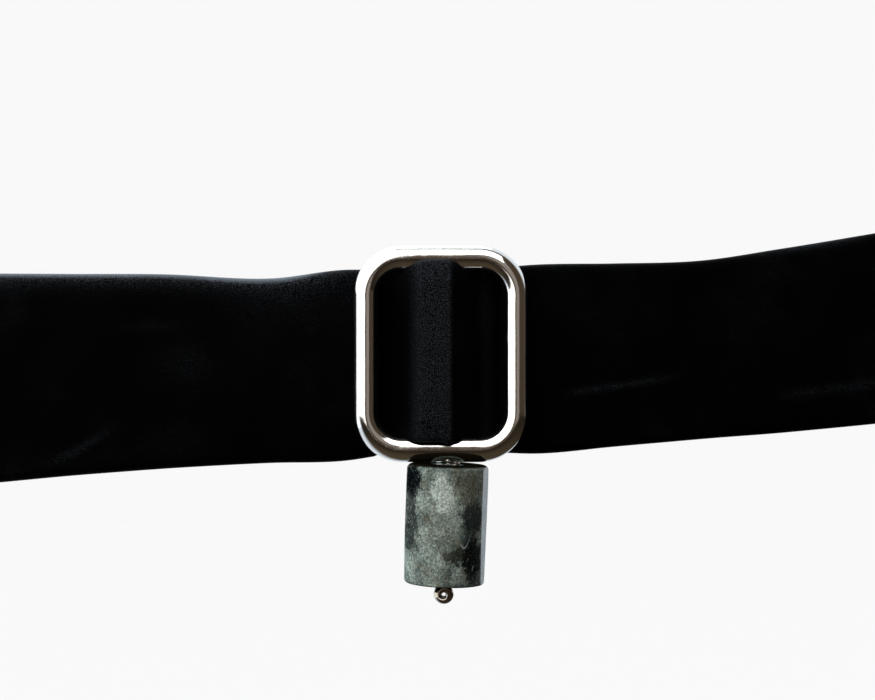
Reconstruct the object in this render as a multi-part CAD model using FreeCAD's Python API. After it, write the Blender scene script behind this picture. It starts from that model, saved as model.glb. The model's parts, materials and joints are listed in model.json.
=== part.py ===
"""Neckband bow tie: a black silk band threaded through a polished slide frame, with a stone drop.

The band is a flat silk sleeve, padded with a woollen interlining, that runs round the front of the neck to a
strap on each side. At the throat it passes behind the two side bars of a rounded wire frame and forward over
its centre bar, so it swells out of the frame's window. The straps are undone at the nape: the left one carries
a hook, the right one an eye loop and a three-bar adjuster. A small bail under the frame holds a pin, and the
pin carries a barrel of grey-green stone.

Row frame, millimetres: +Z up, +X to the wearer's left as seen from the front, -Y towards the viewer.
The origin is the centre of the neck opening, at the band's mid-height.
"""

import FreeCAD, Part
import math
import os

V = FreeCAD.Vector
UP = V(0, 0, 1)
BACK = V(0, 1, 0)
ALONG = V(1, 0, 0)
LEFT, RIGHT = -1, 1

# ---- driving dimensions -----------------------------------------------------------------------------

# neck loop
front_half = 74.0        # straight run of the band each side of the throat
loop_depth = 52.0        # between the middles of the front band and of the rear straps
left_rise = 2.1          # degrees that the left half of the band slopes down from the throat
right_rise = 4.3         # degrees that the right half slopes up from it
flex_gap = 0.6           # each side of the line that a strap bends on

# band and straps
band_width = 32.0
band_thick = 3.0
sleeve_wall = 0.6
lining_gap = 0.1
lining_edge = 2.0        # how far the sleeve's folded edges stand past its lining
strap_width = 20.0
strap_thick = 1.2

# slide frame
wire_dia = 4.0
frame_width = 28.0       # outside
frame_height = 34.6      # outside
frame_corner = 6.0       # radius of the wire's middle line
frame_rise = 1.3         # the frame's middle above the band's
centre_bar_dia = 3.0
fold_thick = 2.0           # band where it goes over the centre bar
fabric_gap = 0.3         # between fabric and metal

# drop
drop_offset = 1.1        # from the frame's middle, along X
drop_lean = 1.9          # degrees, the foot of the drop towards -X
bail_wire = 1.0
bail_half = 1.4          # half the bail's width, to the middle of its wire
bail_depth = 1.7         # from the frame's underside to the middle of the bail's wire
link_gap = 0.1
pin_dia = 1.3
eye_wire = 0.9
stone_dia = 13.4
stone_waist = 0.1        # how much the stone narrows from its belly to its ends, on the radius
stone_length = 19.0
stone_gap = 0.3          # between the frame and the stone
stone_bevel = 0.9
stone_mouth_dia = 4.9    # recess that hides the link
stone_mouth_depth = 3.1
bore_gap = 0.1
flat_depths = {75: 0.2, 165: 0.25, 250: 0.1, 343: 0.3}   # ground flats: degrees round from +X to depth
curl_radius = 0.95       # middle of the curled end's wire
curl_turns = 1.3
curl_pitch = 1.35

# hook, eye and adjuster
clasp_wire = 1.2
clasp_height = 24.8      # outside
clasp_corner = 1.8
pivot_gap = 0.1
eye_reach = 8.0          # between the middles of the eye's two bars
hook_reach = 5.0
hook_bar_x = 20.0        # from the middle of the nape to the hook's pivot
eye_bar_x = 16.0
tongue_width = 9.0
tongue_thick = 0.9
tongue_length = 9.0
tongue_return = 4.0
tongue_mouth = 2.2
turned_end = 13.0        # how far the hook's strap end is turned back
joggle = 3.0             # length in which a turned-back layer changes level
adjuster_width = 12.0
adjuster_bar = 2.2
adjuster_plate = 0.9
adjuster_gap = 0.25
adjuster_x = 34.0        # from the middle of the nape
adjuster_lap = 6.0       # how far the strap's end laps back from the adjuster's middle bar
layer_gap = 0.1          # between layers of one strap

# stitches
thread_dia = 0.35
stitch_length = 2.2
stitch_pitch = 5.0
tack_rows = 9

# ---- places that follow from them -------------------------------------------------------------------

band_y = -loop_depth / 2
strap_y = loop_depth / 2
flex_x = front_half + loop_depth / 2
wire_r = wire_dia / 2
frame_y = band_y - band_thick / 2 - fabric_gap - wire_r
inner_height = frame_height - 2 * wire_dia
bar_z = frame_height / 2 - wire_r            # middle of the top and bottom bars, from the frame's middle
frame_underside = frame_rise - frame_height / 2
link_z = frame_underside - bail_depth
stone_top = frame_underside - stone_gap
stone_foot = stone_top - stone_length
turn_radius = clasp_wire / 2 + pivot_gap + strap_thick / 2   # the strap's middle, round a clasp bar
return_y = strap_y - 2 * turn_radius
pivot_y = strap_y - turn_radius
wrap_radius = adjuster_plate / 2 + pivot_gap + strap_thick / 2   # the strap's middle, round the middle bar
lap_y = strap_y - strap_thick - adjuster_gap
middle_bar_y = lap_y - wrap_radius


def ribbon(points, radii, thick, low, high):
    """A strip of the given thickness along a rounded polyline in plan, standing from low to high."""
    points = [V(x, y, low) for x, y in points]
    runs = [(b - a).normalize() for a, b in zip(points, points[1:])]
    line = [(points[0], runs[0])]
    for corner, radius, into, out in zip(points[1:-1], radii, runs, runs[1:]):
        reach = radius * math.tan(into.getAngle(out) / 2)
        bend = (into + out).normalize()
        inward = (out - into).normalize()
        crown = corner + inward * (radius / math.cos(into.getAngle(out) / 2) - radius)
        line += [(corner - into * reach, into), (crown, bend), (corner + out * reach, out)]
    line.append((points[-1], runs[-1]))

    def side(shift):
        spots = [p + UP.cross(run) * shift for p, run in line]
        edges = []
        for i in range(0, len(spots) - 1, 3):
            if (spots[i + 1] - spots[i]).Length > 1e-6:
                edges.append(Part.LineSegment(spots[i], spots[i + 1]).toShape())
            if i + 3 < len(spots):
                edges.append(Part.Arc(*spots[i + 1 : i + 4]).toShape())
        return spots, edges

    left_spots, left_edges = side(thick / 2)
    right_spots, right_edges = side(-thick / 2)
    caps = [Part.LineSegment(left_spots[i], right_spots[i]).toShape() for i in (0, -1)]
    outline = Part.Wire(Part.__sortEdges__(left_edges + right_edges + caps))
    return Part.Face(outline).extrude(V(0, 0, high - low))


def wire_loop(width, height, corner, dia):
    """A closed rounded rectangle of round wire in the XZ plane, centred on the origin. Sizes are to the middle."""
    across, upright, radius = width / 2, height / 2, dia / 2
    pieces = []
    for sx in (LEFT, RIGHT):
        start = V(sx * across, 0, corner - upright)
        pieces.append(Part.makeCylinder(radius, height - 2 * corner, start, UP))
        for sz in (-1, 1):
            centre = V(sx * (across - corner), 0, sz * (upright - corner))
            profile = Part.Wire(Part.makeCircle(radius, centre + V(sx * corner, 0, 0), UP))
            pieces.append(Part.Face(profile).revolve(centre, BACK, -sx * sz * 90))
    for sz in (-1, 1):
        start = V(corner - across, 0, sz * upright)
        pieces.append(Part.makeCylinder(radius, width - 2 * corner, start, ALONG))
    return pieces[0].fuse(pieces[1:]).removeSplitter()


def box(x0, x1, y0, y1, z0, z1):
    """A block between two corners."""
    return Part.makeBox(x1 - x0, y1 - y0, z1 - z0, V(x0, y0, z0))


def half_of_band(shape, side):
    """Turns a shape that belongs to one half of the band to that half's slope."""
    turned = shape.copy()
    turned.rotate(V(0, 0, 0), BACK, -(left_rise if side == LEFT else right_rise))
    return turned


def mirrored(points, side):
    """Plan points for one half of the band, from points given for the right half."""
    return [(side * x, y) for x, y in points]


# ---- band -------------------------------------------------------------------------------------------


def taper(height_in, height_out):
    """The space that the sleeve fills as it narrows from the front band to the rear straps."""
    front, rear, ends = band_y - band_thick, strap_y, flex_x + band_thick
    outline = [(front, height_in), (band_y + band_thick, height_in), (rear, height_out), (rear + 1, height_out)]
    corners = [V(-ends, y, h / 2) for y, h in outline] + [V(-ends, y, -h / 2) for y, h in reversed(outline)]
    return Part.Face(Part.makePolygon(corners + corners[:1])).extrude(V(2 * ends, 0, 0))


def wing_path(trim):
    """Plan of one front half: from behind the side bar, along the throat and a quarter turn to the flex line."""
    return [(fold_start, band_y), (flex_x, band_y), (flex_x, -flex_gap - trim)]


wing_turn = loop_depth / 2 - flex_gap - lining_edge - sleeve_wall
fold_start = frame_width / 2 - wire_r
fold_half = inner_height / 2 - fabric_gap


def wing(side, trim, thick):
    """One front half of the band or of a layer inside it, trimmed back from the band's edges."""
    top = band_width / 2 - trim
    strip = ribbon(mirrored(wing_path(trim), side), [wing_turn], thick, -top, top)
    return half_of_band(strip.common(taper(2 * top, strap_width - 2 * trim)), side)


def fold(trim, thick):
    """The stretch that comes forward through the window and over the centre bar, or a layer inside it."""
    crest = frame_y - centre_bar_dia / 2 - fabric_gap - fold_thick / 2
    shoulder = centre_bar_dia / 2 + fabric_gap + fold_thick / 2
    plan = [(fold_start + trim + fold_thick, band_y), (fold_start - wire_dia, band_y), (shoulder, crest)]
    plan = plan + mirrored(reversed(plan), LEFT)
    top = fold_half - trim
    return ribbon(plan, [shoulder * 0.8] * 4, thick, frame_rise - top, frame_rise + top)


def whole_band(trim, wing_thick, middle_thick):
    """The two front halves joined by the fold."""
    return fold(trim, middle_thick).fuse([wing(side, trim, wing_thick) for side in (LEFT, RIGHT)])


def sleeve():
    """The folded silk, with the room for its interlining left inside."""
    hollow = whole_band(lining_edge - lining_gap, band_thick - 2 * sleeve_wall, fold_thick - 2 * sleeve_wall)
    return whole_band(0, band_thick, fold_thick).cut(hollow).removeSplitter()


def interlining():
    """The woollen strip that stiffens the sleeve."""
    inset = 2 * (sleeve_wall + lining_gap)
    return whole_band(lining_edge, band_thick - inset, fold_thick - inset).removeSplitter()


def stitch_row(first, step, count, along):
    """A row of equal stitches. Each starts a step after the one before."""
    places = [first + step * i for i in range(count)]
    return Part.makeCompound([Part.makeCylinder(thread_dia / 2, stitch_length, foot, along) for foot in places])


def seam_stitches():
    """The slip stitches that close the sleeve down the middle of its inner face."""
    first = fold_start + stitch_pitch
    count = int((front_half - first) / stitch_pitch)
    face_y = band_y + band_thick / 2 + thread_dia / 2
    rows = []
    for side in (LEFT, RIGHT):
        foot = V(side * first - stitch_length / 2, face_y, 0)
        rows.append(half_of_band(stitch_row(foot, V(side * stitch_pitch, 0, 0), count, ALONG), side))
    return Part.makeCompound([stitch for row in rows for stitch in row.Solids])


def join_stitches(side):
    """The upright row that closes the end of the sleeve over the root of a strap."""
    count = int(strap_width / (stitch_length * 1.5))
    step = strap_width / count
    foot = V(side * (flex_x + band_thick / 2 + thread_dia / 2), -flex_gap - lining_edge / 2,
             (step - stitch_length - strap_width) / 2)
    return half_of_band(stitch_row(foot, UP * step, count, UP), side)


# ---- slide frame ------------------------------------------------------------------------------------


def slide_frame():
    """The polished ring of round wire."""
    ring = wire_loop(frame_width - wire_dia, frame_height - wire_dia, frame_corner, wire_dia)
    ring.translate(V(0, frame_y, frame_rise))
    return ring


def centre_bar(ring):
    """The upright bar soldered across the ring, cut to the ring's round wire."""
    bar = Part.makeCylinder(centre_bar_dia / 2, 2 * bar_z, V(0, frame_y, frame_rise - bar_z), UP)
    return bar.cut(ring)


def drop_bail(ring):
    """The small staple under the ring that the drop hangs from."""
    centre = V(drop_offset, frame_y, link_z + bail_half)
    profile = Part.Face(Part.Wire(Part.makeCircle(bail_wire / 2, centre - V(bail_half, 0, 0), UP)))
    bend = profile.revolve(centre, BACK, -180)
    legs = [Part.makeCylinder(bail_wire / 2, wire_r, centre + V(s * bail_half, 0, 0), UP) for s in (LEFT, RIGHT)]
    return bend.fuse(legs).cut(ring).removeSplitter()


# ---- drop -------------------------------------------------------------------------------------------


def leaned(shape):
    """Turns a shape of the drop about the link, to the angle that it hangs at."""
    turned = shape.copy()
    turned.rotate(V(drop_offset, frame_y, link_z), BACK, drop_lean)
    return turned


def stone():
    """A hand-ground barrel with bevelled ends, four uneven flats, a through bore and a recess for the link."""
    belly, end = stone_dia / 2, stone_dia / 2 - stone_waist
    middle = (stone_top + stone_foot) / 2

    def spot(radius, z):
        return V(drop_offset + radius, frame_y, z)

    flank = Part.Arc(spot(end, stone_foot + stone_bevel), spot(belly, middle), spot(end, stone_top - stone_bevel))
    rim = end - stone_bevel
    outline = [
        Part.LineSegment(spot(0, stone_foot), spot(rim, stone_foot)).toShape(),
        Part.LineSegment(spot(rim, stone_foot), spot(end, stone_foot + stone_bevel)).toShape(),
        flank.toShape(),
        Part.LineSegment(spot(end, stone_top - stone_bevel), spot(rim, stone_top)).toShape(),
        Part.LineSegment(spot(rim, stone_top), spot(0, stone_top)).toShape(),
        Part.LineSegment(spot(0, stone_top), spot(0, stone_foot)).toShape(),
    ]
    body = Part.Face(Part.Wire(outline)).revolve(spot(0, 0), UP, 360)
    for angle, depth in flat_depths.items():
        slab = box(belly - depth, belly + depth, -belly, belly, stone_foot - 1, stone_top + 1)
        slab.rotate(V(0, 0, 0), UP, angle)
        slab.translate(V(drop_offset, frame_y, 0))
        body = body.cut(slab)
    bore = Part.makeCylinder(pin_dia / 2 + bore_gap, stone_length + 2, spot(0, stone_foot - 1), UP)
    mouth = Part.makeCylinder(stone_mouth_dia / 2, stone_mouth_depth + 1, spot(0, stone_top - stone_mouth_depth), UP)
    return leaned(body.cut(bore).cut(mouth))


def drop_pin():
    """The pin: an eye round the bail, a straight shank through the stone and a curled end that stops it."""
    ring_r = bail_wire / 2 + link_gap + eye_wire / 2
    eye = Part.makeTorus(ring_r, eye_wire / 2, V(drop_offset, frame_y, link_z), ALONG)
    shank_top = link_z - ring_r
    curl_top = stone_foot - bore_gap - pin_dia / 2
    corner = V(drop_offset, frame_y, curl_top)
    shank = Part.makeCylinder(pin_dia / 2, shank_top - curl_top, corner, UP)
    knee = Part.makeSphere(pin_dia / 2, corner)
    helix = Part.makeHelix(curl_pitch, curl_pitch * curl_turns, curl_radius)
    helix.rotate(V(0, 0, 0), ALONG, 90)
    helix.rotate(V(0, 0, 0), BACK, -90)
    helix.translate(corner - V(0, 0, curl_radius))
    section = Part.Wire(Part.makeCircle(pin_dia / 2, corner, ALONG))
    coil = Part.Wire(helix.Edges).makePipeShell([section], True, True)
    return leaned(shank.fuse([eye, knee, coil]))


# ---- straps and clasp -------------------------------------------------------------------------------


def strap(side):
    """One rear strap, from the flex line to its clasp bar and round it. The hook's strap is also turned back."""
    bar_x = hook_bar_x if side == LEFT else eye_bar_x
    end = bar_x - turn_radius
    path = [(flex_x, flex_gap), (flex_x, strap_y), (end, strap_y), (end, return_y)]
    radii = [loop_depth / 2 - flex_gap, turn_radius, turn_radius]
    if side == LEFT:
        laid_y = strap_y - strap_thick - layer_gap
        run = bar_x + turn_radius
        path += [(run, return_y), (run + joggle, laid_y), (end + turned_end, laid_y)]
        radii += [joggle / 2, joggle / 2]
    else:
        path += [(bar_x + turn_radius, return_y)]
    half = strap_width / 2
    return half_of_band(ribbon(mirrored(path, side), radii, strap_thick, -half, half), side)


def strap_return():
    """The right strap's layer that comes back from the eye loop, round the adjuster's middle bar and laps itself."""
    start = eye_bar_x + turn_radius + layer_gap
    level_y = middle_bar_y - wrap_radius
    turn_x = adjuster_x + adjuster_bar / 2 + wrap_radius + pivot_gap
    path = [(start, return_y), (start + joggle, return_y), (start + 2 * joggle, level_y), (turn_x, level_y),
            (turn_x, lap_y), (adjuster_x - adjuster_lap, lap_y)]
    radii = [joggle / 2, joggle / 2, wrap_radius, wrap_radius]
    half = strap_width / 2
    return half_of_band(ribbon(path, radii, strap_thick, -half, half), RIGHT)


def tack(x, face_y, side):
    """The close row of stitches that holds a turned-back end down."""
    spread = strap_width - 4
    foot = V(x - stitch_length / 2, face_y - thread_dia / 2, -spread / 2)
    step = V(0, 0, spread / (tack_rows - 1))
    return half_of_band(stitch_row(foot, step, tack_rows, ALONG), side)


def hook_tack():
    """The stitches through the hook's strap end."""
    face_y = strap_y - strap_thick - layer_gap - strap_thick / 2
    return tack(-(hook_bar_x - turn_radius + turned_end - stitch_length), face_y, LEFT)


def adjuster_tack():
    """The stitches through the strap end at the adjuster."""
    face_y = middle_bar_y - wrap_radius - strap_thick / 2
    return tack(adjuster_x - adjuster_lap + stitch_length, face_y, RIGHT)


def eye_loop():
    """The plain wire loop that the hook catches."""
    loop = wire_loop(eye_reach, clasp_height - clasp_wire, clasp_corner, clasp_wire)
    loop.translate(V(eye_bar_x - eye_reach / 2, pivot_y, 0))
    return half_of_band(loop, RIGHT)


def hook():
    """A wire loop with a flat tongue turned back on itself."""
    loop = wire_loop(hook_reach, clasp_height - clasp_wire, clasp_corner, clasp_wire)
    loop.translate(V(-hook_bar_x + hook_reach / 2, pivot_y, 0))
    root = -hook_bar_x + hook_reach
    tip = root + tongue_length
    mouth_y = pivot_y - tongue_mouth
    plan = [(root, pivot_y), (tip, pivot_y), (tip, mouth_y), (tip - tongue_return, mouth_y)]
    bend = tongue_mouth / 2
    tongue = ribbon(plan, [bend, bend], tongue_thick, -tongue_width / 2, tongue_width / 2)
    return half_of_band(loop.fuse(tongue).removeSplitter(), LEFT)


def adjuster():
    """A three-bar slide. Its outer bars lie over the strap and its middle bar holds the strap's end beneath."""
    x0, x1 = adjuster_x - adjuster_width / 2, adjuster_x + adjuster_width / 2
    low = middle_bar_y - adjuster_plate / 2
    high = strap_y + strap_thick / 2 + adjuster_gap + adjuster_plate
    rail_in = strap_width / 2 + adjuster_gap
    rail_out = clasp_height / 2
    rails = [box(x0, x1, low, high, *sorted((s * rail_in, s * rail_out))) for s in (-1, 1)]
    bars = [box(x, x + adjuster_bar, high - adjuster_plate, high, -rail_out, rail_out)
            for x in (x0, x1 - adjuster_bar)]
    bars.append(box(adjuster_x - adjuster_bar / 2, adjuster_x + adjuster_bar / 2, low, low + adjuster_plate,
                    -rail_out, rail_out))
    return half_of_band(rails[0].fuse([rails[1]] + bars).removeSplitter(), RIGHT)


# ---- export -----------------------------------------------------------------------------------------

ring = slide_frame()
parts = {
    "front_sleeve": sleeve(),
    "front_interlining": interlining(),
    "seam_stitches": seam_stitches(),
    "left_join_stitches": join_stitches(LEFT),
    "right_join_stitches": join_stitches(RIGHT),
    "slide_frame": ring,
    "centre_bar": centre_bar(ring),
    "drop_bail": drop_bail(ring),
    "drop_pin": drop_pin(),
    "stone_drop": stone(),
    "left_strap": strap(LEFT),
    "hook": hook(),
    "hook_tack": hook_tack(),
    "right_strap": strap(RIGHT),
    "strap_return": strap_return(),
    "eye_loop": eye_loop(),
    "adjuster": adjuster(),
    "adjuster_tack": adjuster_tack(),
}

os.makedirs("parts", exist_ok=True)
for name, shape in sorted(parts.items()):
    shape.exportStep(f"parts/{name}.step")
    size = shape.BoundBox
    print(f"{name:22s} valid {shape.isValid()} solids {len(shape.Solids)} volume {shape.Volume:9.2f}"
          f"  x {size.XMin:7.2f} {size.XMax:7.2f}  y {size.YMin:7.2f} {size.YMax:7.2f}  z {size.ZMin:7.2f} {size.ZMax:7.2f}")
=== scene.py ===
"""Studio scene of a neckband bow tie with a slide frame and a stone drop.

The rigid parts come from the CAD. This file adds the cloth, the polished ring and the ground stone as finer
meshes, gives every piece its finish, and sets the lights, the floor and the camera. Lengths are in metres.
"""

import json
import logging
import math
from dataclasses import dataclass, field
from enum import Enum
from typing import Callable, Sequence

import bpy
import numpy as np
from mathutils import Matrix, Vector

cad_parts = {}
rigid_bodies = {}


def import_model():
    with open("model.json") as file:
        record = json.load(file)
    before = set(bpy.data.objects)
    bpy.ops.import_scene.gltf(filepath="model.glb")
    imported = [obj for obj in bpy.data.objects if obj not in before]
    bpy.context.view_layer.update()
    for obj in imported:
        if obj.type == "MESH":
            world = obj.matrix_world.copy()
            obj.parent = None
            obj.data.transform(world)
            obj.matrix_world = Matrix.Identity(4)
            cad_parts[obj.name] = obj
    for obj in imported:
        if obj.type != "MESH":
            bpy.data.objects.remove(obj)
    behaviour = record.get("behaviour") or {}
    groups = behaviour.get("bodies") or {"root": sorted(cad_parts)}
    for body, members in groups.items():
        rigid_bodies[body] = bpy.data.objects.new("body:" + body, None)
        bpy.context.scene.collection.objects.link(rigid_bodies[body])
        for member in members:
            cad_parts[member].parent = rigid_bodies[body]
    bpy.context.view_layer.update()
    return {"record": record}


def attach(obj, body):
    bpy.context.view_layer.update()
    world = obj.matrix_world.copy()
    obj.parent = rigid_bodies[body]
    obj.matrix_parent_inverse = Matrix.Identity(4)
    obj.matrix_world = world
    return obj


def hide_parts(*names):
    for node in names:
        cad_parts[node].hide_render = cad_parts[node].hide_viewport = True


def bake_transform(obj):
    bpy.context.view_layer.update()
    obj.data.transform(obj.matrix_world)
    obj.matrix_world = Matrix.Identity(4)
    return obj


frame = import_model()
LOG = logging.getLogger("bow_tie")
MM = 0.001
TAU = 2 * math.pi
PAINTED_SHEEN = "scuffs_and_sheen_mask"
Triple = tuple[float, float, float]
Colour = Triple


class Side(Enum):
    """The half of the band that a piece belongs to, with the way along X that it lies."""

    LEFT = -1
    RIGHT = 1


# ---- shared helpers ---------------------------------------------------------------------------------


def smooth(t: np.ndarray) -> np.ndarray:
    """Ease t, clamped from 0 to 1, with level ends."""
    t = np.clip(t, 0.0, 1.0)
    return t * t * (3 - 2 * t)


def bump(x: np.ndarray, centre: float, width: float) -> np.ndarray:
    """A rounded bump of height 1 at centre that fades out over width."""
    return np.exp(-(((x - centre) / width) ** 2))


def flowing(x: np.ndarray, stations: Sequence[float], values: Sequence[float]) -> np.ndarray:
    """Interpolate values given at stations by a curve with no kinks, level beyond the ends.

    Args:
        x: where the values are wanted.
        stations: places where they are given, in rising order.
        values: the value at each station.

    Returns:
        The value at each x.
    """
    at, given = np.array(stations), np.array(values)
    slopes = np.gradient(given, at)
    k = np.clip(np.searchsorted(at, x) - 1, 0, len(at) - 2)
    span = at[k + 1] - at[k]
    t = np.clip((x - at[k]) / span, 0, 1)
    rise = t * t * (3 - 2 * t)
    bend = t * (1 - t) ** 2 * slopes[k] - t * t * (1 - t) * slopes[k + 1]
    return given[k] * (1 - rise) + given[k + 1] * rise + bend * span


def add_mesh(name: str, verts: np.ndarray, faces: Sequence[Sequence[int]]) -> bpy.types.Object:
    """Make a smooth-shaded mesh object.

    Args:
        name: the piece's name.
        verts: points in millimetres, one row each.
        faces: corners of each face.

    Returns:
        The new object.
    """
    mesh = bpy.data.meshes.new(name)
    mesh.from_pydata((np.asarray(verts, float) * MM).tolist(), [], [list(f) for f in faces])
    mesh.polygons.foreach_set("use_smooth", [True] * len(mesh.polygons))
    mesh.update()
    obj = bpy.data.objects.new(name, mesh)
    bpy.context.scene.collection.objects.link(obj)
    return obj


def grid_faces(rows: int, cols: int, close_rows: bool, close_cols: bool) -> list[tuple[int, ...]]:
    """List the quads of a grid of points.

    Args:
        rows: points along the first direction.
        cols: points along the second direction.
        close_rows: whether the last row joins the first.
        close_cols: whether the last column joins the first.

    Returns:
        The quads, and an end cap at each open end of a tube.
    """
    faces: list[tuple[int, ...]] = []
    for i in range(rows if close_rows else rows - 1):
        for j in range(cols if close_cols else cols - 1):
            a, b = i * cols, ((i + 1) % rows) * cols
            k = (j + 1) % cols
            faces.append((a + j, b + j, b + k, a + k))
    if close_cols and not close_rows:
        faces.append(tuple(range(cols)))
        faces.append(tuple(reversed(range((rows - 1) * cols, rows * cols))))
    return faces


# ---- material tools ---------------------------------------------------------------------------------


class Nodes:
    """A short way to write a shader tree."""

    def __init__(self, material: bpy.types.Material) -> None:
        """Start from an empty tree with one Principled shader and its output.

        Args:
            material: the material whose tree is written.
        """
        material.use_nodes = True
        self.tree = material.node_tree
        self.tree.nodes.clear()
        self.shader = self.tree.nodes.new("ShaderNodeBsdfPrincipled")
        output = self.tree.nodes.new("ShaderNodeOutputMaterial")
        self.link(self.shader.outputs["BSDF"], output.inputs["Surface"])

    def link(self, source: bpy.types.NodeSocket, target: bpy.types.NodeSocket) -> None:
        """Join two sockets."""
        self.tree.links.new(source, target)

    def node(self, kind: str, **inputs: object) -> bpy.types.Node:
        """Add a node.

        Args:
            kind: the node's type name, without the ShaderNode prefix.
            inputs: values or sockets by input name, with underscores for spaces. A name that starts
                with a lower-case letter sets the node's own property.

        Returns:
            The new node.
        """
        made = self.tree.nodes.new("ShaderNode" + kind)
        for key, value in inputs.items():
            if key[0].islower():
                setattr(made, key, value)
        for key, value in inputs.items():
            if key[0].islower():
                continue
            socket = made.inputs[key.replace("_", " ")]
            if isinstance(value, bpy.types.NodeSocket):
                self.link(value, socket)
            else:
                socket.default_value = value
        return made

    def place(self, scale: Triple = (1, 1, 1)) -> bpy.types.NodeSocket:
        """Return the piece's own coordinates.

        Args:
            scale: the factor along each axis.

        Returns:
            A vector socket in metres.
        """
        where = self.tree.nodes.new("ShaderNodeTexCoord")
        mapping = self.node("Mapping", Scale=scale)
        self.link(where.outputs["Object"], mapping.inputs["Vector"])
        return mapping.outputs["Vector"]

    def noise(self, vector: bpy.types.NodeSocket, scale: float, detail: float = 3.0,
              rough: float = 0.55) -> bpy.types.NodeSocket:
        """Add fractal noise.

        Args:
            vector: where the noise is read.
            scale: waves to the metre.
            detail: number of finer layers.
            rough: strength of each finer layer against the one before.

        Returns:
            A value from 0 to 1.
        """
        made = self.node("TexNoise", Vector=vector, Scale=scale, Detail=detail, Roughness=rough)
        return made.outputs["Fac"]

    def ramp(self, value: bpy.types.NodeSocket, low: float, high: float, start: float = 0.0,
             end: float = 1.0) -> bpy.types.NodeSocket:
        """Map a value from one range on to another and clamp it.

        Args:
            value: the value.
            low: where the first range starts.
            high: where it ends.
            start: the result at low.
            end: the result at high.

        Returns:
            The mapped value.
        """
        made = self.node("MapRange", Value=value, From_Min=low, From_Max=high, To_Min=start, To_Max=end)
        return made.outputs["Result"]

    def maths(self, operation: str, a: object, b: object = 0.0) -> bpy.types.NodeSocket:
        """Do one sum.

        Args:
            operation: its name.
            a: the first value or socket.
            b: the second value or socket.

        Returns:
            The result.
        """
        made = self.tree.nodes.new("ShaderNodeMath")
        made.operation = operation
        for socket, value in zip(made.inputs, (a, b)):
            if isinstance(value, bpy.types.NodeSocket):
                self.link(value, socket)
            else:
                socket.default_value = value
        return made.outputs[0]

    def mix(self, factor: object, a: object, b: object) -> bpy.types.NodeSocket:
        """Mix two colours.

        Args:
            factor: the share of the second colour, a value or a socket.
            a: the first colour or socket.
            b: the second colour or socket.

        Returns:
            The mixed colour.
        """
        made = self.tree.nodes.new("ShaderNodeMix")
        made.data_type = "RGBA"
        for socket, value in zip((made.inputs["Factor"], made.inputs[6], made.inputs[7]), (factor, a, b)):
            if isinstance(value, bpy.types.NodeSocket):
                self.link(value, socket)
            elif isinstance(value, tuple):
                socket.default_value = (*value, 1.0)
            else:
                socket.default_value = value
        return made.outputs[2]

    def bump(self, height: bpy.types.NodeSocket, strength: float, distance: float) -> None:
        """Give the shader a surface relief.

        Args:
            height: the relief's height, from 0 to 1.
            strength: how much of it shows.
            distance: its depth in metres.
        """
        made = self.node("Bump", Height=height, Strength=strength, Distance=distance)
        self.link(made.outputs["Normal"], self.shader.inputs["Normal"])

    def set(self, **inputs: object) -> None:
        """Set or link the shader's inputs.

        Args:
            inputs: values or sockets by input name, with underscores for spaces.
        """
        for key, value in inputs.items():
            socket = self.shader.inputs[key.replace("_", " ")]
            if isinstance(value, bpy.types.NodeSocket):
                self.link(value, socket)
            elif isinstance(value, tuple) and len(value) == 3:
                socket.default_value = (*value, 1.0)
            else:
                socket.default_value = value


@dataclass(frozen=True)
class Silk:
    """Black woven silk with a fine ribbed weave. Where the mesh marks painted sheen and highlights, pale
    flecks show.
    """

    colour: Colour = (0.0004, 0.00045, 0.0006)
    # Pale bluish fleck colour: painted sheen and highlights, and also the random stray fibres.
    fleck_and_sheen: Colour = (0.110, 0.128, 0.150)
    rib: float = 0.00038
    roughness: float = 0.5

    def build(self) -> bpy.types.Material:
        """Build the finish.

        Returns:
            The material.
        """
        material = bpy.data.materials.new("black_silk")
        n = Nodes(material)
        place = n.place()
        split = n.node("SeparateXYZ", Vector=place)
        waver = n.maths("MULTIPLY", n.noise(place, 180, 2), 3.0)
        turns = [n.maths("MULTIPLY", split.outputs[way], TAU / self.rib) for way in "XZ"]
        ribs = [n.maths("SINE", n.maths("ADD", turn, waver)) for turn in turns]
        weave = n.maths("MULTIPLY", *ribs)
        grain = n.noise(place, 6500, 2, 0.7)
        slub = n.noise(n.place((1.0, 1.0, 9.0)), 900, 3, 0.6)
        # Painted sheen and highlights: where the mesh marks them, the black goes to the pale bluish fleck
        # colour. The stray flecks at random spots are the weave's own pale fibres.
        scuffs_and_sheen_mask = n.node("Attribute", attribute_name=PAINTED_SHEEN).outputs["Fac"]
        stray = n.ramp(n.noise(place, 55, 4, 0.6), 0.52, 0.70, 0.0, 0.05)
        sheen_and_stray = n.maths("MULTIPLY", n.ramp(grain, 0.49, 0.62), n.maths("ADD", scuffs_and_sheen_mask, stray))
        sheen_and_stray = n.maths("ADD", sheen_and_stray, n.ramp(scuffs_and_sheen_mask, 0.45, 1.0, 0.0, 0.9))
        n.set(Base_Color=n.mix(sheen_and_stray, self.colour, self.fleck_and_sheen),
              Roughness=n.ramp(slub, 0.3, 0.7, self.roughness - 0.05, self.roughness + 0.08),
              Specular_IOR_Level=0.01, Sheen_Weight=0.03, Sheen_Roughness=0.3,
              Sheen_Tint=(0.75, 0.85, 1.0))
        relief = n.maths("ADD", n.maths("MULTIPLY", weave, 0.35), n.maths("ADD", grain, slub))
        n.bump(relief, 0.5, 0.00006)
        return material


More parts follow.
